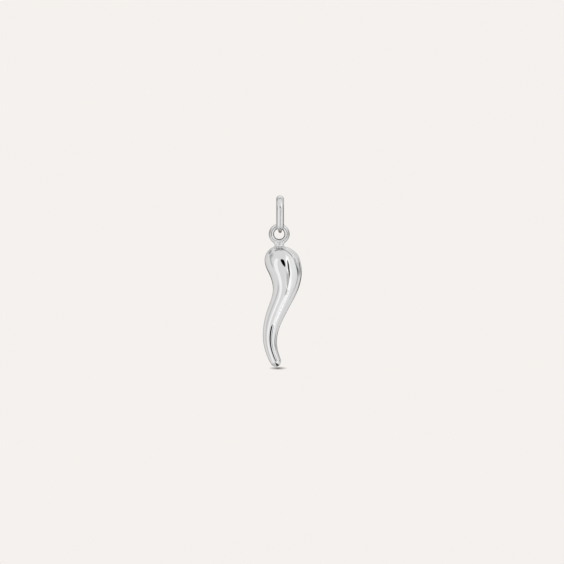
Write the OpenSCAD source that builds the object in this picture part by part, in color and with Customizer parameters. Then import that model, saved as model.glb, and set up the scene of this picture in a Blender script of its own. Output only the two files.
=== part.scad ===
// Small solid silver horn pendant: a curved tapering horn with a wire ring soldered on its head,
// hanging in a closed bail. Origin: the top of the bail's opening, where a chain lies.
// X is to the right, Y away from the viewer, Z up.

/* [Bail] */
// Width of the band across its front
bail_w = 1.3; // [1:0.02:1.6]
// Thickness of the half-round band
bail_t = 0.7; // [0.5:0.01:0.8]
// Height of the opening inside the bail
bail_open_h = 5.05; // [4.6:0.05:7]
// Radius of the opening at the top, seen from the side
bail_top_r = 1.27; // [1:0.01:1.6]
// Radius of the opening at the foot, seen from the side
bail_foot_r = 0.67; // [0.6:0.01:0.8]
// Diameter of the round wire at the foot
foot_wire = 0.56; // [0.5:0.01:0.6]

/* [Ring] */
// Diameter of the ring's wire
ring_wire = 0.9; // [0.8:0.02:1]
// Diameter of the ring's hole
ring_hole = 1.72; // [1.6:0.02:2]
// How far the ring sits to the side of the bail's middle
ring_side = -0.15; // [-0.2:0.01:0.2]
// Play between the bail's foot and the top of the ring's hole
ring_play = 0.15; // [0.1:0.01:0.25]

/* [Horn] */
// Size of the horn against its section table
horn_size = 1; // [0.8:0.01:1.3]
// Distance from the ring's middle down to the top of the head
head_drop = 1.94; // [1.9:0.01:2]
// Width of the solder bead under the ring
bead_d = 1.4; // [1.3:0.05:1.6]

/* [Smoothness] */
// Sides around the horn
horn_sides = 32; // [16:4:48]
// Sections made from each row of the horn's table
horn_steps = 3; // [2:1:5]
// Sides around the bail's band
band_sides = 24; // [12:4:32]

/* [Hidden] */
$fn = 64;

// Columns of the horn's section table
SIDE = 0;
DEPTH = 1;
DOWN = 2;
TURN = 3;
HALF_W = 4;
ROUNDNESS = 5;

// Middle of each section to the side, towards the back and down from the top of the head, its turn
// with the right end up, its half width, and its depth as a share of its width.
// The first and the last row only lead the curve in and out.
horn_sections = [
    [0.23, 0, 1.39, 4, 2.76, 0.9],
    [0.32, 0, 2.39, 6, 2.93, 0.9],
    [0.6, 0, 3.39, 8, 2.94, 0.9],
    [0.91, 0, 4.5, 6, 2.77, 0.91],
    [1.04, 0, 5.64, 2, 2.52, 0.93],
    [0.97, 0, 6.89, -4, 2.22, 0.96],
    [0.64, 0, 8.15, -14, 1.92, 0.98],
    [0.12, 0, 9.48, -21, 1.71, 1],
    [-0.45, 0, 10.8, -23, 1.6, 1],
    [-0.99, -0.03, 12.1, -21, 1.5, 1],
    [-1.41, -0.14, 13.44, -15, 1.37, 1],
    [-1.65, -0.34, 14.78, -6, 1.25, 1],
    [-1.68, -0.58, 16.13, 3, 1.14, 1],
    [-1.46, -0.86, 17.47, 13, 1.04, 1],
    [-1.01, -1.16, 18.78, 22, 0.97, 1],
    [-0.71, -1.3, 19.42, 25, 0.91, 1],
    [-0.42, -1.43, 20.03, 27, 0.85, 1]
];
// Length of the rounded ends beyond the first and the last section
head_round = 2.39;
tip_round = 0.87;
// Angles of the sections in the rounded ends, from the table's end section outwards
head_cuts = [86, 78, 69, 60, 50, 40, 30, 20, 10];
tip_cuts = [0, 12, 24, 36, 48, 60, 72, 83];

// Heights of the bail's foot, the ring and the head
foot_z = -bail_open_h - foot_wire / 2;
ring_z = foot_z + foot_wire / 2 + ring_play - ring_hole / 2;
head_z = ring_z - head_drop;
ring_r = (ring_hole + ring_wire) / 2;
// Height of the bead's middle above the head's top, and its depth as a share of its width
bead_rise = 0.1;
bead_depth = 0.8;

// The bail seen from the side: heights of its two arcs, and the lean of its legs
top_arc_z = -bail_top_r;
foot_arc_z = -bail_open_h + bail_foot_r;
leg_lean = asin((bail_top_r - bail_foot_r) / (top_arc_z - foot_arc_z));
// Angles from straight down: up to here the foot is round wire, from here the band has its full width
wire_to = 38;
band_from = 76;
// The round wire runs a little over the band's ends, which are thinner than it by this much
wire_end = 32;
band_end = 30;
end_step = 0.02;
// Height of the band's widest line above its inner face, and how square its inner side is
band_edge = 0.12;
band_square = 0.5;
arc_steps = 22;
foot_steps = 9;
leg_steps = 4;

function unit(v) = v / norm(v);

function mix(a, b, k) = a + (b - a) * k;

// Goes from 0 to 1 as v goes from low to high, with no sudden change
function ease(low, high, v) =
    let (k = min(1, max(0, (v - low) / (high - low))))
    k * k * (3 - 2 * k);

// Smooth curve from b to c, between the neighbours a and d
function smooth(a, b, c, d, t) =
    (2 * b + (c - a) * t + (2 * a - 5 * b + 4 * c - d) * t * t
        + (3 * b - a - 3 * c + d) * t * t * t) / 2;

// How fast that curve changes
function slope(a, b, c, d, t) =
    (c - a + 2 * (2 * a - 5 * b + 4 * c - d) * t + 3 * (3 * b - a - 3 * c + d) * t * t) / 2;

function middle(section) = [section[SIDE], section[DEPTH], -section[DOWN]];

// Points around a section of a horn that runs along change, with its size times scale
function section_points(section, change, scale = 1) =
    let (
        across = [cos(section[TURN]), 0, sin(section[TURN])],
        deep = unit(cross(middle(change), across)),
        half_w = section[HALF_W] * scale,
        half_d = half_w * section[ROUNDNESS]
    )
    [
        for (k = [0 : horn_sides - 1])
            let (a = 360 * k / horn_sides)
            middle(section) + across * half_w * cos(a) + deep * half_d * sin(a)
    ];

// A rounded end: the section goes straight on for reach times sin(a), and narrows with cos(a)
function round_end(section, change, reach, cuts) = [
    for (a = cuts)
        section_points(section + change * reach * sin(a) / norm(middle(change)), change, cos(a))
];

function horn_rings() =
    let (t = horn_sections, last = len(t) - 2)
    concat(
        round_end(t[1], slope(t[0], t[1], t[2], t[3], 0), -head_round, head_cuts),
        [
            for (i = [1 : last - 1], k = [0 : horn_steps - 1])
                let (s = k / horn_steps)
                section_points(smooth(t[i - 1], t[i], t[i + 1], t[i + 2], s),
                               slope(t[i - 1], t[i], t[i + 1], t[i + 2], s))
        ],
        round_end(t[last], slope(t[last - 2], t[last - 1], t[last], t[last + 1], 1), tip_round, tip_cuts)
    );

// Points around the band at a place on its inner face, given by the side view's arc middle,
// radius and angle from straight down
function band_points(arc_z, r, angle) =
    let (
        k = ease(wire_to, band_from, min(angle, 360 - angle)),
        end_d = foot_wire - end_step,
        half_w = mix(end_d, bail_w, k) / 2,
        low = mix(end_d / 2, band_edge, k),
        high = mix(end_d, bail_t, k) - low,
        widest_r = r + mix(end_step / 2, 0, k) + low,
        square = mix(1, band_square, k)
    )
    [
        for (j = [0 : band_sides - 1])
            let (
                a = 360 * j / band_sides,
                outside = j < band_sides / 2,
                power = outside ? 1 : square,
                across = half_w * sign(cos(a)) * pow(abs(cos(a)), power),
                out = widest_r + (outside ? high : -low) * pow(abs(sin(a)), power)
            )
            [across, out * sin(angle), arc_z - out * cos(angle)]
    ];

// Rings of points along the band, from one side of the foot over the top to the other side
function band_rings() =
    let (leg_angle = 90 - leg_lean)
    [
        for (i = [0 : foot_steps])
            band_points(foot_arc_z, bail_foot_r, mix(band_end, leg_angle, i / foot_steps)),
        for (i = [1 : leg_steps - 1])
            let (k = i / leg_steps)
            band_points(mix(foot_arc_z, top_arc_z, k), mix(bail_foot_r, bail_top_r, k), leg_angle),
        for (i = [0 : arc_steps])
            band_points(top_arc_z, bail_top_r, mix(leg_angle, 360 - leg_angle, i / arc_steps)),
        for (i = [1 : leg_steps - 1])
            let (k = i / leg_steps)
            band_points(mix(top_arc_z, foot_arc_z, k), mix(bail_top_r, bail_foot_r, k), 360 - leg_angle),
        for (i = [0 : foot_steps])
            band_points(foot_arc_z, bail_foot_r, mix(360 - leg_angle, 360 - band_end, i / foot_steps))
    ];

// Closed skin over a list of rings of points
module skin(rings) {
    sides = len(rings[0]);
    last = len(rings) - 1;
    polyhedron(
        points = [for (r = rings) each r],
        faces = [
            [for (j = [0 : sides - 1]) j],
            [for (j = [sides - 1 : -1 : 0]) last * sides + j],
            for (i = [0 : last - 1], j = [0 : sides - 1])
                let (a = i * sides, b = a + sides, next = (j + 1) % sides)
                each [[a + j, b + j, a + next], [a + next, b + j, b + next]]
        ]
    );
}

module ring() {
    rotate([90, 0, 0])
        rotate_extrude()
            translate([ring_r, 0])
                circle(d = ring_wire);
}

module horn() {
    color("silver") {
        translate([ring_side, 0, ring_z]) ring();
        translate([ring_side, 0, head_z + bead_rise]) scale([1, bead_depth, 1]) sphere(d = bead_d);
        translate([0, 0, head_z]) scale(horn_size) skin(horn_rings());
    }
}

module bail() {
    color("gainsboro") {
        skin(band_rings());
        translate([0, 0, foot_arc_z])
            rotate([90, 0, 90])
                rotate([0, 0, -90 - wire_end])
                    rotate_extrude(angle = 2 * wire_end)
                        translate([bail_foot_r + foot_wire / 2, 0])
                            circle(d = foot_wire);
    }
}

horn();
bail();
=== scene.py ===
"""A small solid silver horn pendant: a curved horn with a wire ring soldered on its head, hanging in
a closed bail, in a white studio whose cards show as bands in the polished surface."""

import math

import bpy
import numpy as np
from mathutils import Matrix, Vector


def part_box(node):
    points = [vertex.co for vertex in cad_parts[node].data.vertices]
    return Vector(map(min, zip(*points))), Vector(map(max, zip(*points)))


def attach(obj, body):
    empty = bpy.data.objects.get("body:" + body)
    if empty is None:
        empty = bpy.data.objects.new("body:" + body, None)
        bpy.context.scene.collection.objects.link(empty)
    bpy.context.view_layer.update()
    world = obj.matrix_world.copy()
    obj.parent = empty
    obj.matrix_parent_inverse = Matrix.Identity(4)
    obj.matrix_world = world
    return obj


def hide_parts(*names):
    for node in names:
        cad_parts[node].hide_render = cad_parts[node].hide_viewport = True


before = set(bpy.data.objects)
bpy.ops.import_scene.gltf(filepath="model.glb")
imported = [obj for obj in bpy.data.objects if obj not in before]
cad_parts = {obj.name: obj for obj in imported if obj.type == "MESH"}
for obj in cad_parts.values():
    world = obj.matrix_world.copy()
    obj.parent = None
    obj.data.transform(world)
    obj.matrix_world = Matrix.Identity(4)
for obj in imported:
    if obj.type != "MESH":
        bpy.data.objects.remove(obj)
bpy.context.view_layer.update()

# Shapes are worked out in millimetres, in the frame's own axes
MM = 0.001
SLOT = "polished_silver"

# The bail: width and thickness of its half-round band, the opening's height and its radii at the top
# and at the foot, and the diameter of the round wire at the foot
BAIL_W = 1.3
BAIL_T = 0.7
BAIL_OPEN_H = 5.05
BAIL_TOP_R = 1.27
BAIL_FOOT_R = 0.67
FOOT_WIRE = 0.56
# Angles from straight down between which the round wire grows into the band
WIRE_TO = 38
BAND_FROM = 76
# Height of the band's widest line above its inner face, and how square its inner side is
BAND_EDGE = 0.12
BAND_SQUARE = 0.5
# Points around the band, points along the two arcs of each side, and steps along each leg
BAIL_SIDES = 64
BAIL_TURN_STEPS = 72
BAIL_LEG_STEPS = 24

# The ring, the solder bead and the place of the horn's head
RING_WIRE = 0.9
RING_HOLE = 1.72
RING_SIDE = -0.15
RING_PLAY = 0.15
HEAD_DROP = 1.94
BEAD_D = 1.4
BEAD_RISE = 0.1
BEAD_DEPTH = 0.8
RING_R = (RING_HOLE + RING_WIRE) / 2
RING_Z = -BAIL_OPEN_H + RING_PLAY - RING_HOLE / 2
HEAD_Z = RING_Z - HEAD_DROP
# How far the solder flows into the corners between the ring, the bead and the head
SOLDER_FLOW = 0.45

# Columns of the horn's section table: middle to the side, to the back and down from the head's top,
# turn with the right end up, half width, and depth as a share of the width
SIDE, DEPTH, DOWN, TURN, HALF_W, ROUNDNESS = range(6)
# The first and the last row only lead the curve in and out
HORN_SECTIONS = np.array([
    (0.23, 0, 1.39, 4, 2.76, 0.9),
    (0.32, 0, 2.39, 6, 2.93, 0.9),
    (0.6, 0, 3.39, 8, 2.94, 0.9),
    (0.91, 0, 4.5, 6, 2.77, 0.91),
    (1.04, 0, 5.64, 2, 2.52, 0.93),
    (0.97, 0, 6.89, -4, 2.22, 0.96),
    (0.64, 0, 8.15, -14, 1.92, 0.98),
    (0.12, 0, 9.48, -21, 1.71, 1),
    (-0.45, 0, 10.8, -23, 1.6, 1),
    (-0.99, -0.03, 12.1, -21, 1.5, 1),
    (-1.41, -0.14, 13.44, -15, 1.37, 1),
    (-1.65, -0.34, 14.78, -6, 1.25, 1),
    (-1.68, -0.58, 16.13, 3, 1.14, 1),
    (-1.46, -0.86, 17.47, 13, 1.04, 1),
    (-1.01, -1.16, 18.78, 22, 0.97, 1),
    (-0.71, -1.3, 19.42, 25, 0.91, 1),
    (-0.42, -1.43, 20.03, 27, 0.85, 1),
])
LAST_PLACE = len(HORN_SECTIONS) - 3
# Length of the rounded ends beyond the table
HEAD_ROUND = 2.39
TIP_ROUND = 0.87
# Steps of the rough shells that the horn's fine mesh starts from: around the horn, along each row of its
# table and along its rounded ends, over and around the bead, and along and around the ring's wire. The
# ends of the horn and of the bead stop at these angles in degrees, short of a point.
HORN_SIDES = 64
ROW_STEPS = 6
END_STEPS = 16
END_ANGLE = 85
BEAD_STEPS = 24
BEAD_SIDES = 32
BEAD_END_ANGLE = 88
RING_STEPS = 96
WIRE_SIDES = 32
# Edge of the small squares that the fine mesh is made of, and how often they are evened out
HORN_GRAIN = 0.065
EVEN_OUT = 3
# Rounds for finding a point's place along the horn, from a first guess and from a place close by, and for
# moving a point onto the surface, whose slope is felt over this distance
GUESS_ROUNDS = 6
NEAR_ROUNDS = 3
SURFACE_ROUNDS = 2
PROBE = 1e-4

# Where no polishing wheel reaches, the silver is matt, and some places are painted darker as shade, each
# as a
# share from 0 to 1: on the ring's face, in its hole and round its rim, in the solder, inside the bail and
# at its foot
RING_MATT = 0.5
HOLE_MATT = 1
HOLE_DARK = 1
RIM_DARK = 0.6
SOLDER_MATT = 1
BAIL_MATT = 0.8
BAIL_DARK = 0.8
FOOT_DARK = 0.35
# The hole and the rim start and end at these shares of the wire's radius, and the top of the rim, inside
# the bail, where the painted shade leaves off, at these shares of the ring's. The solder and the ring's
# own surface do so at these distances, the inside of the bail at these shares of its band's half height,
# and the foot at these heights above its underside.
HOLE_EDGE = (0.55, 0.9)
RIM_EDGE = (-0.2, 0.6)
RIM_TOP_EDGE = (0.3, 1)
SOLDER_EDGE = (0.3, 1.5)
WIRE_EDGE = (0.05, 0.25)
BAIL_EDGE = (0.2, 1)
FOOT_EDGE = (0.8, 1.6)

# Colours of the polished silver, of its thin tarnish and of the painted shade in its dark places, and of
# what any of them mirrors where it is seen side-on
SILVER = (0.955, 0.955, 0.96, 1)
TARNISH = (0.87, 0.855, 0.83, 1)
PAINTED_SHADE = (0.35, 0.345, 0.34, 1)
SIDE_ON = (0.6, 0.6, 0.6, 1)
# The largest share of tarnish, the roughness of the silver from its freshest to its most worn places, what
# the polishing marks add to it, and that of the matt places
MOST_TARNISH = 0.25
ROUGHNESS = (0.015, 0.035)
MARK_ROUGHNESS = 0.012
MATT_ROUGHNESS = 0.4
# Noise, as waves in a metre and detail, for the tarnish, the wear, the unevenness of hand work and the
# polishing marks, which are drawn out by this much, and the range that such noise keeps to
TARNISH_NOISE = (800, 4)
WEAR_NOISE = (380, 3)
UNEVEN_NOISE = (650, 1)
MARK_NOISE = (6000, 2)
MARK_STRETCH = (1, 1, 0.08)
NOISE_RANGE = (0.35, 0.65)
# Heights of the unevenness and of the marks, in metres
UNEVEN_HEIGHT = 4e-6
MARK_HEIGHT = 3e-7

# The photograph's frame is this wide at the pendant, and its middle looks at this point, from this many
# degrees above it. The lens is a long one, and the sensor is this wide.
VIEW_W = 94.75
VIEW_CENTRE = (0.32, 0, -13.84)
VIEW_ELEVATION = 4.5
LENS = 135
SENSOR = 36

# Light of the pale backdrop and floor, and of the white room that the metal reflects
BACKDROP = (0.913, 0.88, 0.855)
ROOM = 0.71
# The floor's width, and its gap under the horn's tip
FLOOR_SIZE = 4000
FLOOR_GAP = 0.01
# The small shadow under the tip: its middle to the side and to the back, its half width and half depth,
# and its darkness in the middle
SHADOW_PLACE = (-0.35, -3.4)
SHADOW_SIZE = (1.6, 2.5)
SHADOW_DARK = 0.95

# What stands around the pendant, seen only in its polished surface. The names are labels for things that
# the photograph doesn't show. The values were set by hand at first, and many were then tuned by a scratch
# program, which fitted the reflections to the photograph's brightness, and rounded. Each card has the
# direction of its middle, from the front to the right and up, its width, height and turn, all in degrees,
# its light, the share of it that is soft edge, its distance, and how square its corners are. The farthest
# comes first. Each is a mesh with this many corners and steps, around a middle face of this share of its
# size.
ROUND = 2.2
SQUARE = 5
CARD_CORNERS = 48
CARD_STEPS = 6
CARD_MIDDLE = 0.001
CARDS = {
    "table": (0, -88, 105, 88, -18, 0.52, 0.1, 300, SQUARE),
    "left_window": (-41, -9, 23, 72, 20, 0.92, 0.25, 298, SQUARE),
    "right_window": (29, -15, 32, 170, 7, 1.07, 0.45, 296, SQUARE),
    "right_fade": (62, 13, 64, 174, 22, 0.86, 1.0, 294, SQUARE),
    "back_wall": (168, 27, 51, 104, 18, 0.94, 0.6, 292, SQUARE),
    "left_high": (-123, 36, 32, 21, -4, 0.35, 0.2, 290, ROUND),
    "stand": (2, 6, 21, 32, -28, 0.0, 0.1, 289, ROUND),
    "hoop_left": (-158, 78, 56, 13, 8, 0.25, 0.2, 288, ROUND),
    "back_left": (-155, -22, 21, 41, -10, 0.0, 0.25, 285, ROUND),
    "table_edge": (114, -67, 158, 32, -26, 0.09, 0.3, 280, ROUND),
    "right_arc": (88, 6, 18, 48, -24, 0.15, 0.25, 275, ROUND),
    "arm_low": (14, -21, 22, 14, -17, 0.47, 0.5, 270, ROUND),
    "hoop_right": (93, 55, 88, 9, -55, 0.06, 0.9, 205, ROUND),
    "back_right": (145, -11, 33, 25, -30, 0.12, 0.6, 95, ROUND),
    "left_line": (-73, 1, 16, 53, -11, 0.5, 0.3, 84, SQUARE),
    "stand_foot": (-5, -38, 22, 10, 9, 0.0, 0.2, 70, ROUND),
    "arm": (28, -2, 11, 39, 13, 0.07, 0.2, 62, ROUND),
    "right_line": (92, -17, 8, 66, 25, 0.1, 1.0, 60, ROUND),
    "right_back": (119, 4, 34, 21, -50, 0.15, 0.5, 50, ROUND),
    "table_front": (35, -68, 44, 24, 17, 0.0, 0.3, 41, ROUND),
    "low_light": (13, -28, 51, 3, 23, 0.92, 0.7, 27, SQUARE),
    "left_near": (-76, 40, 34, 40, -15, 0.3, 1.0, 17, ROUND),
    "right_near": (94, 16, 50, 20, 20, 0.6, 0.8, 16, ROUND),
}


def linked(made):
    """The object, now in the scene."""
    bpy.context.scene.collection.objects.link(made)
    return made


def mesh_object(name, points, faces):
    """A smooth-shaded object in metres from points in millimetres."""
    mesh = bpy.data.meshes.new(name)
    mesh.from_pydata((points * MM).tolist(), [], faces)
    mesh.shade_smooth()
    return linked(bpy.data.objects.new(name, mesh))


def ease(low, high, value):
    """Goes from 0 to 1 as value goes from low to high, with no sudden change."""
    k = np.clip((value - low) / (high - low), 0, 1)
    return k * k * (3 - 2 * k)


def mix(a, b, k):
    """The value that is the share k of the way from a to b."""
    return a + (b - a) * k


def unit(vectors):
    """The vectors at length 1."""
    return vectors / np.linalg.norm(vectors, axis=-1, keepdims=True)


def dot(a, b):
    """Product of two lists of vectors, row by row."""
    return (a * b).sum(-1)


def skin(rings, closed=False):
    """Points and faces of a skin over rings of points, with flat ends or joined into a loop."""
    count, sides = rings.shape[:2]
    faces = []
    for i in range(count if closed else count - 1):
        for j in range(sides):
            across = (j + 1) % sides
            low, high = i * sides, (i + 1) % count * sides
            faces.append((low + j, low + across, high + across, high + j))
    if not closed:
        faces.append(tuple(range(sides - 1, -1, -1)))
        faces.append(tuple(range((count - 1) * sides, count * sides)))
    return rings.reshape(-1, 3), faces


def sections_at(places):
    """Rows of the horn's table at these places, on a smooth curve, and how fast they change.
    Place 0 is the table's second row. Beyond the ends the curve goes straight on."""
    held = np.clip(places, 0, LAST_PLACE)
    i = np.minimum(held.astype(int), LAST_PLACE - 1)
    t = (held - i)[:, None]
    a, b, c, d = (HORN_SECTIONS[i + k] for k in range(4))
    bend = 2 * a - 5 * b + 4 * c - d
    twist = 3 * b - a - 3 * c + d
    rows = (2 * b + (c - a) * t + bend * t**2 + twist * t**3) / 2
    change = (c - a + 2 * bend * t + 3 * twist * t**2) / 2
    return rows + change * (places - held)[:, None], change


def middle(rows):
    """The middle of each section, from the top of the head."""
    return np.stack([rows[:, SIDE], rows[:, DEPTH], -rows[:, DOWN]], 1)


def section_axes(rows, change):
    """Directions across and through each section, and the way that its plane faces."""
    turn = np.radians(rows[:, TURN])
    across = np.stack([np.cos(turn), 0 * turn, np.sin(turn)], 1)
    deep = unit(np.cross(middle(change), across))
    return across, deep, np.cross(across, deep)


def find_places(points, places, rounds):
    """Moves each place along the horn until its section's plane holds the point."""
    for _ in range(rounds):
        rows, change = sections_at(places)
        facing = section_axes(rows, change)[2]
        places = places + dot(points - middle(rows), facing) / dot(middle(change), facing)
    return places


def horn_distance(points, places):
    """About how far each point is outside the horn."""
    rows, change = sections_at(places)
    across, deep, _ = section_axes(rows, change)
    away = points - middle(rows)
    half_w = rows[:, HALF_W]
    reach = np.where(places < 0, HEAD_ROUND, TIP_ROUND)
    beyond = (places - np.clip(places, 0, LAST_PLACE)) * np.linalg.norm(middle(change), axis=1) / reach
    size = np.hypot(dot(away, across) / half_w, dot(away, deep) / (half_w * rows[:, ROUNDNESS]))
    return (np.hypot(size, beyond) - 1) * half_w


def ring_distance(points):
    """How far each point is outside the ring's wire."""
    side, depth, up = (points - (RING_SIDE, 0, HEAD_DROP)).T
    return np.hypot(np.hypot(side, up) - RING_R, depth) - RING_WIRE / 2


def bead_distance(points):
    """About how far each point is outside the solder bead."""
    away = (points - (RING_SIDE, 0, BEAD_RISE)) / (1, BEAD_DEPTH, 1)
    return (np.linalg.norm(away, axis=1) - BEAD_D / 2) * BEAD_DEPTH


def flow(a, b):
    """The smaller of two distances, with solder in the corner between the two surfaces."""
    corner = np.maximum(SOLDER_FLOW - np.abs(a - b), 0)
    return np.minimum(a, b) - corner**2 / (4 * SOLDER_FLOW)


def whole_distance(points, places):
    """How far each point is outside the horn, the bead and the ring, soldered together."""
    places = find_places(points, places, NEAR_ROUNDS)
    return flow(flow(horn_distance(points, places), bead_distance(points)), ring_distance(points))


def onto_surface(points):
    """The points moved onto the soldered whole, and the way that its surface faces there."""
    guess = np.interp(-points[:, 2], HORN_SECTIONS[:, DOWN], np.arange(len(HORN_SECTIONS)) - 1.0)
    places = find_places(points, guess, GUESS_ROUNDS)
    for _ in range(SURFACE_ROUNDS):
        here = whole_distance(points, places)
        slope = np.stack([whole_distance(points + axis, places) - here for axis in np.eye(3) * PROBE], 1)
        slope /= PROBE
        points = points - slope * (here / dot(slope, slope))[:, None]
    return points, unit(slope)


def rough_horn():
    """Rings of points around the horn, for a first mesh."""
    ends = np.radians(np.linspace(END_ANGLE, 0, END_STEPS, endpoint=False))
    table_steps = ROW_STEPS * LAST_PLACE + 1
    speed = np.linalg.norm(middle(sections_at(np.array([0.0, LAST_PLACE]))[1]), axis=1)
    places = np.concatenate([
        -HEAD_ROUND * np.sin(ends) / speed[0],
        np.linspace(0, LAST_PLACE, table_steps),
        LAST_PLACE + TIP_ROUND * np.sin(ends[::-1]) / speed[1],
    ])
    scale = np.concatenate([np.cos(ends), np.ones(table_steps), np.cos(ends[::-1])])
    rows, change = sections_at(places)
    across, deep, _ = section_axes(rows, change)
    angle = np.linspace(0, 2 * np.pi, HORN_SIDES, endpoint=False)[None, :, None]
    wide = (rows[:, HALF_W] * scale)[:, None, None]
    high = wide * rows[:, ROUNDNESS][:, None, None]
    around = across[:, None] * wide * np.cos(angle) + deep[:, None] * high * np.sin(angle)
    return middle(rows)[:, None] + around


def rough_bead():
    """Rings of points around the solder bead."""
    tilt = np.radians(np.linspace(-BEAD_END_ANGLE, BEAD_END_ANGLE, BEAD_STEPS))[:, None]
    angle = np.linspace(0, 2 * np.pi, BEAD_SIDES, endpoint=False)[None]
    ball = [np.cos(tilt) * np.cos(angle), np.cos(tilt) * np.sin(angle), np.sin(tilt) + 0 * angle]
    return np.stack(ball, 2) * (1, BEAD_DEPTH, 1) * BEAD_D / 2 + (RING_SIDE, 0, BEAD_RISE)


def rough_ring():
    """Rings of points around the ring's wire."""
    turn = np.linspace(0, 2 * np.pi, RING_STEPS, endpoint=False)[:, None]
    angle = np.linspace(0, 2 * np.pi, WIRE_SIDES, endpoint=False)[None]
    out = RING_R + np.cos(angle) * RING_WIRE / 2
    wire = [out * np.sin(turn), np.sin(angle) * RING_WIRE / 2 + 0 * turn, out * np.cos(turn)]
    return np.stack(wire, 2) + (RING_SIDE, 0, HEAD_DROP)


def melted_together(shells):
    """Corners, edges and faces of one even mesh over several closed shells."""
    points, faces = [], []
    for shell_points, shell_faces in shells:
        start = sum(len(p) for p in points)
        points.append(shell_points)
        faces += [tuple(start + k for k in face) for face in shell_faces]
    # Squares this small can't be asked for in metres, so this mesh is a thousand times as large
    rough = mesh_object("rough", np.concatenate(points) / MM, faces)
    remesh = rough.modifiers.new("remesh", "REMESH")
    remesh.mode = "VOXEL"
    remesh.voxel_size = HORN_GRAIN
    even = rough.evaluated_get(bpy.context.evaluated_depsgraph_get()).data
    corners = np.array([v.co for v in even.vertices])
    edges = np.array([e.vertices[:] for e in even.edges])
    quads = [tuple(f.vertices) for f in even.polygons]
    bpy.data.objects.remove(rough)
    return corners, edges, quads


def evened(points, edges):
    """Each point moved to the middle of its neighbours."""
    a, b = edges.T
    count = np.bincount(edges.ravel(), minlength=len(points))
    total = [
        np.bincount(a, points[b, k], len(points)) + np.bincount(b, points[a, k], len(points))
        for k in range(3)
    ]
    return np.stack(total, 1) / count[:, None]


def horn_matt_and_painted_shade(points):
    """How matt the silver is at each point of the soldered whole, and how far painted shade darkens it."""
    side, _, up = (points - (RING_SIDE, 0, HEAD_DROP)).T
    outwards = (np.hypot(side, up) - RING_R) / (RING_WIRE / 2)
    wire = 1 - ease(*WIRE_EDGE, np.abs(ring_distance(points)))
    hole = ease(*HOLE_EDGE, -outwards)
    solder = 1 - ease(*SOLDER_EDGE, np.abs(bead_distance(points)))
    rim_top = ease(*RIM_TOP_EDGE, up / RING_R)
    rim = ease(*RIM_EDGE, outwards) * wire * (1 - solder) * (1 - rim_top)
    matt = np.maximum.reduce([RING_MATT * wire, HOLE_MATT * hole, SOLDER_MATT * solder])
    # The second share is painted shade, which darkens the silver's colour in the hole and round the rim
    return matt, np.maximum(HOLE_DARK * hole, RIM_DARK * rim)


def note(piece, **values_by_name):
    """Notes these values on each point of the piece, for its material to read."""
    for name, values in values_by_name.items():
        noted = piece.data.attributes.new(name, "FLOAT", "POINT")
        noted.data.foreach_set("value", values.ravel().astype(np.float32))


def make_horn():
    """The horn, its solder and its ring as one fine mesh."""
    shells = [skin(rough_horn()), skin(rough_bead()), skin(rough_ring(), closed=True)]
    points, edges, quads = melted_together(shells)
    for _ in range(EVEN_OUT):
        points, _ = onto_surface(evened(points, edges))
    points, facing = onto_surface(points)
    horn = mesh_object("silver_horn", points + (0, 0, HEAD_Z), quads)
    horn.data.normals_split_custom_set_from_vertices(facing.tolist())
    matt, dark = horn_matt_and_painted_shade(points)
    note(horn, matt=matt, dark=dark)
    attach(horn, "horn")
    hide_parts("horn")
    return horn


def bail_path():
    """Once around the bail's inner line, from the bottom of the foot: the height that each point turns
    about, its distance from there, and its angle from straight down."""
    top_z = -BAIL_TOP_R
    foot_z = -BAIL_OPEN_H + BAIL_FOOT_R
    lean = math.degrees(math.asin((BAIL_TOP_R - BAIL_FOOT_R) / (top_z - foot_z)))
    leg = 90 - lean
    foot = np.linspace(0, leg, BAIL_TURN_STEPS // 2)
    top = np.linspace(leg, 180, BAIL_TURN_STEPS // 2)
    share = np.linspace(0, 1, BAIL_LEG_STEPS + 1)[1:-1]
    angle = np.concatenate([foot, np.full(len(share), leg), top])
    rise = np.concatenate([np.zeros(len(foot)), share, np.ones(len(top))])
    arc_z = mix(foot_z, top_z, rise)
    radius = mix(BAIL_FOOT_R, BAIL_TOP_R, rise)
    back = slice(-2, 0, -1)
    return (np.concatenate([arc_z, arc_z[back]]), np.concatenate([radius, radius[back]]),
            np.concatenate([angle, 360 - angle[back]]))


def make_bail():
    """The bail: one half-round band that narrows to round wire at its foot."""
    arc_z, radius, angle = (values[:, None] for values in bail_path())
    grown = ease(WIRE_TO, BAND_FROM, np.minimum(angle, 360 - angle))
    half_w = mix(FOOT_WIRE, BAIL_W, grown) / 2
    low = mix(FOOT_WIRE / 2, BAND_EDGE, grown)
    high = mix(FOOT_WIRE, BAIL_T, grown) - low
    around = np.linspace(0, 2 * np.pi, BAIL_SIDES, endpoint=False)[None]
    outside = np.sin(around) > 0
    power = np.where(outside, 1, mix(1, BAND_SQUARE, grown))
    side = half_w * np.sign(np.cos(around)) * np.abs(np.cos(around)) ** power
    out = radius + low + np.where(outside, high, -low) * np.abs(np.sin(around)) ** power
    turn = np.radians(angle)
    rings = np.stack([side, out * np.sin(turn), arc_z - out * np.cos(turn)], 2)
    bail = mesh_object("silver_bail", *skin(rings, closed=True))
    # The inside of the bail and its foot are matt, and darkened with painted shade
    inside = 1 - ease(*BAIL_EDGE, np.sin(around))
    foot = 1 - ease(*FOOT_EDGE, rings[..., 2] + BAIL_OPEN_H + FOOT_WIRE)
    note(bail, matt=BAIL_MATT * np.maximum(inside, foot),
         dark=np.maximum(BAIL_DARK * inside, FOOT_DARK * foot))
    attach(bail, "bail")
    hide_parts("bail")
    return bail


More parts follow.
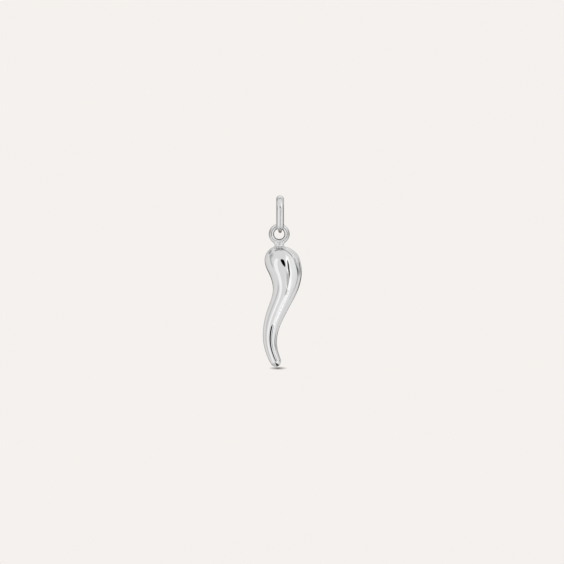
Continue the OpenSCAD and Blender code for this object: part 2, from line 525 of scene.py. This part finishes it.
def add(tree, kind, inputs=None, **settings):
    """A new node with these settings. Each input is a value or another node's output."""
    node = tree.nodes.new("ShaderNode" + kind)
    for key, value in settings.items():
        setattr(node, key, value)
    for key, value in (inputs or {}).items():
        if isinstance(value, bpy.types.NodeSocket):
            tree.links.new(value, node.inputs[key])
        else:
            node.inputs[key].default_value = value
    return node


def new_material(name):
    """An empty node material, and its tree."""
    material = bpy.data.materials.new(name)
    material.use_nodes = True
    material.node_tree.nodes.clear()
    return material, material.node_tree


def silver():
    """Polished sterling silver: slightly uneven by hand, with faint polishing marks and thin tarnish, and
    matt, and darkened with painted shade, where the pieces' points say."""
    material, tree = new_material(SLOT)
    place = add(tree, "TexCoord").outputs["Object"]
    matt = add(tree, "Attribute", attribute_name="matt").outputs["Fac"]
    dark = add(tree, "Attribute", attribute_name="dark").outputs["Fac"]

    def noise(waves, detail, stretch=(1, 1, 1)):
        """Noise with so many waves in a metre, or fewer where it is drawn out."""
        moved = add(tree, "VectorMath", {0: place, 1: stretch}, operation="MULTIPLY").outputs[0]
        return add(tree, "TexNoise", {"Vector": moved, "Scale": waves, "Detail": detail}).outputs["Fac"]

    def between(value, low, high):
        """The noise, spread out from low to high."""
        limits = {"From Min": NOISE_RANGE[0], "From Max": NOISE_RANGE[1], "To Min": low, "To Max": high}
        return add(tree, "MapRange", {"Value": value, **limits}).outputs["Result"]

    def blend(share, a, b):
        """The colour that is the share of the way from a to b. A mix node's inputs 6 and 7 are its
        colours, and 2 and 3 its plain values."""
        return add(tree, "Mix", {0: share, 6: a, 7: b}, data_type="RGBA").outputs[2]

    marks = noise(*MARK_NOISE, MARK_STRETCH)
    worn = between(noise(*WEAR_NOISE), *ROUGHNESS)
    scratches = between(marks, 0, MARK_ROUGHNESS)
    scratched = add(tree, "Math", {0: worn, 1: scratches}, operation="ADD").outputs[0]
    rough = add(tree, "Mix", {0: matt, 2: scratched, 3: MATT_ROUGHNESS}).outputs[0]
    clean = blend(between(noise(*TARNISH_NOISE), 0, MOST_TARNISH), SILVER, TARNISH)
    uneven = add(tree, "Bump", {"Height": noise(*UNEVEN_NOISE), "Distance": UNEVEN_HEIGHT}).outputs[0]
    bumps = add(tree, "Bump", {"Height": marks, "Distance": MARK_HEIGHT, "Normal": uneven}).outputs[0]
    # Where the points say dark, the colour goes towards the painted shade
    shader = add(tree, "BsdfPrincipled", {"Metallic": 1.0, "Base Color": blend(dark, clean, PAINTED_SHADE),
                                          "Roughness": rough, "Normal": bumps, "Specular Tint": SIDE_ON})
    add(tree, "OutputMaterial", {"Surface": shader.outputs[0]})
    return material


def direction(azimuth, elevation):
    """The direction that is so far from the front to the right, and up."""
    a, e = math.radians(azimuth), math.radians(elevation)
    return np.array([math.sin(a) * math.cos(e), -math.cos(a) * math.cos(e), math.sin(e)])


def card_material():
    """A card that glows as its points say, and is clear towards its soft edge."""
    material, tree = new_material("card")
    level = add(tree, "Attribute", attribute_name="level").outputs["Fac"]
    cover = add(tree, "Attribute", attribute_name="cover").outputs["Fac"]
    glow = add(tree, "Emission", {"Strength": level}).outputs[0]
    clear = add(tree, "BsdfTransparent").outputs[0]
    mixed = add(tree, "MixShader", {0: cover, 1: clear, 2: glow}).outputs[0]
    add(tree, "OutputMaterial", {"Surface": mixed})
    material.cycles.emission_sampling = "NONE"
    return material


def make_cards():
    """The studio's cards, each on a sphere around the pendant."""
    material = card_material()
    angle = np.linspace(0, 2 * np.pi, CARD_CORNERS, endpoint=False)
    circle = np.stack([np.cos(angle), np.sin(angle)], 1)
    for name, card in CARDS.items():
        azimuth, elevation, width, height, turn, level, soft, distance, squareness = card
        ahead = direction(azimuth, elevation)
        right = direction(azimuth + 90, 0)
        up = np.cross(right, ahead)
        roll = math.radians(turn)
        right, up = (right * math.cos(roll) + up * math.sin(roll),
                     up * math.cos(roll) - right * math.sin(roll))
        outline = np.sign(circle) * np.abs(circle) ** (2 / squareness)
        shares = np.append(np.linspace(CARD_MIDDLE, 1 - soft, CARD_STEPS), 1)
        offset = np.radians(outline[None] * shares[:, None, None] * (width / 2, height / 2))
        a, b = offset[..., :1], offset[..., 1:]
        points = (ahead * np.cos(a) + right * np.sin(a)) * np.cos(b) + up * np.sin(b)
        made = mesh_object("card_" + name, *skin(points * distance + VIEW_CENTRE))
        cover = np.repeat(shares < 1, CARD_CORNERS)
        note(made, cover=cover, level=np.full(len(cover), level))
        made.data.materials.append(material)
        made.visible_camera = made.visible_diffuse = made.visible_shadow = False


def make_floor():
    """A wide pale floor just under the horn's tip, with the tip's small soft shadow."""
    material, tree = new_material("pale_floor")
    middle_x, middle_y = SHADOW_PLACE
    wide, deep = SHADOW_SIZE
    place = add(tree, "TexCoord").outputs["Object"]
    away = add(tree, "VectorMath", {0: place, 1: (middle_x * MM, middle_y * MM, 0)}, operation="SUBTRACT")
    share = add(tree, "VectorMath", {0: away.outputs[0], 1: (wide * MM, deep * MM, 1)}, operation="DIVIDE")
    reach = add(tree, "VectorMath", {0: share.outputs[0]}, operation="LENGTH").outputs["Value"]
    light = add(tree, "MapRange", {"Value": reach, "To Min": 1 - SHADOW_DARK}).outputs["Result"]
    glow = add(tree, "Emission", {"Color": (*BACKDROP, 1), "Strength": light}).outputs[0]
    add(tree, "OutputMaterial", {"Surface": glow})
    material.cycles.emission_sampling = "NONE"
    half = FLOOR_SIZE / 2
    corners = np.array([(-half, -half, 0), (half, -half, 0), (half, half, 0), (-half, half, 0)])
    floor = mesh_object("floor", corners, [(0, 1, 2, 3)])
    floor.location.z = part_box("horn")[0].z - FLOOR_GAP * MM
    floor.data.materials.append(material)
    floor.visible_glossy = floor.visible_diffuse = False


def make_world():
    """The pale backdrop where the camera sees it, and the white room for everything else."""
    world = bpy.data.worlds.new("studio")
    bpy.context.scene.world = world
    world.use_nodes = True
    tree = world.node_tree
    tree.nodes.clear()
    seen = add(tree, "LightPath").outputs["Is Camera Ray"]
    room = add(tree, "Background", {"Color": (ROOM, ROOM, ROOM, 1)}).outputs[0]
    backdrop = add(tree, "Background", {"Color": (*BACKDROP, 1)}).outputs[0]
    mixed = add(tree, "MixShader", {0: seen, 1: room, 2: backdrop}).outputs[0]
    add(tree, "OutputWorld", {"Surface": mixed})


def make_camera():
    """A long lens nearly level with the pendant."""
    data = bpy.data.cameras.new("camera")
    data.lens = LENS
    data.sensor_width = SENSOR
    camera = linked(bpy.data.objects.new("camera", data))
    back = Vector(direction(0, VIEW_ELEVATION))
    camera.location = (Vector(VIEW_CENTRE) + back * (VIEW_W * LENS / SENSOR)) * MM
    camera.rotation_euler = (-back).to_track_quat("-Z", "Y").to_euler()
    bpy.context.scene.camera = camera


make_camera()
make_world()
make_floor()
make_cards()
metal = silver()
for piece in (make_horn(), make_bail()):
    piece.data.materials.append(metal)

scene = bpy.context.scene
scene.view_settings.view_transform = "Standard"
scene.cycles.caustics_reflective = False
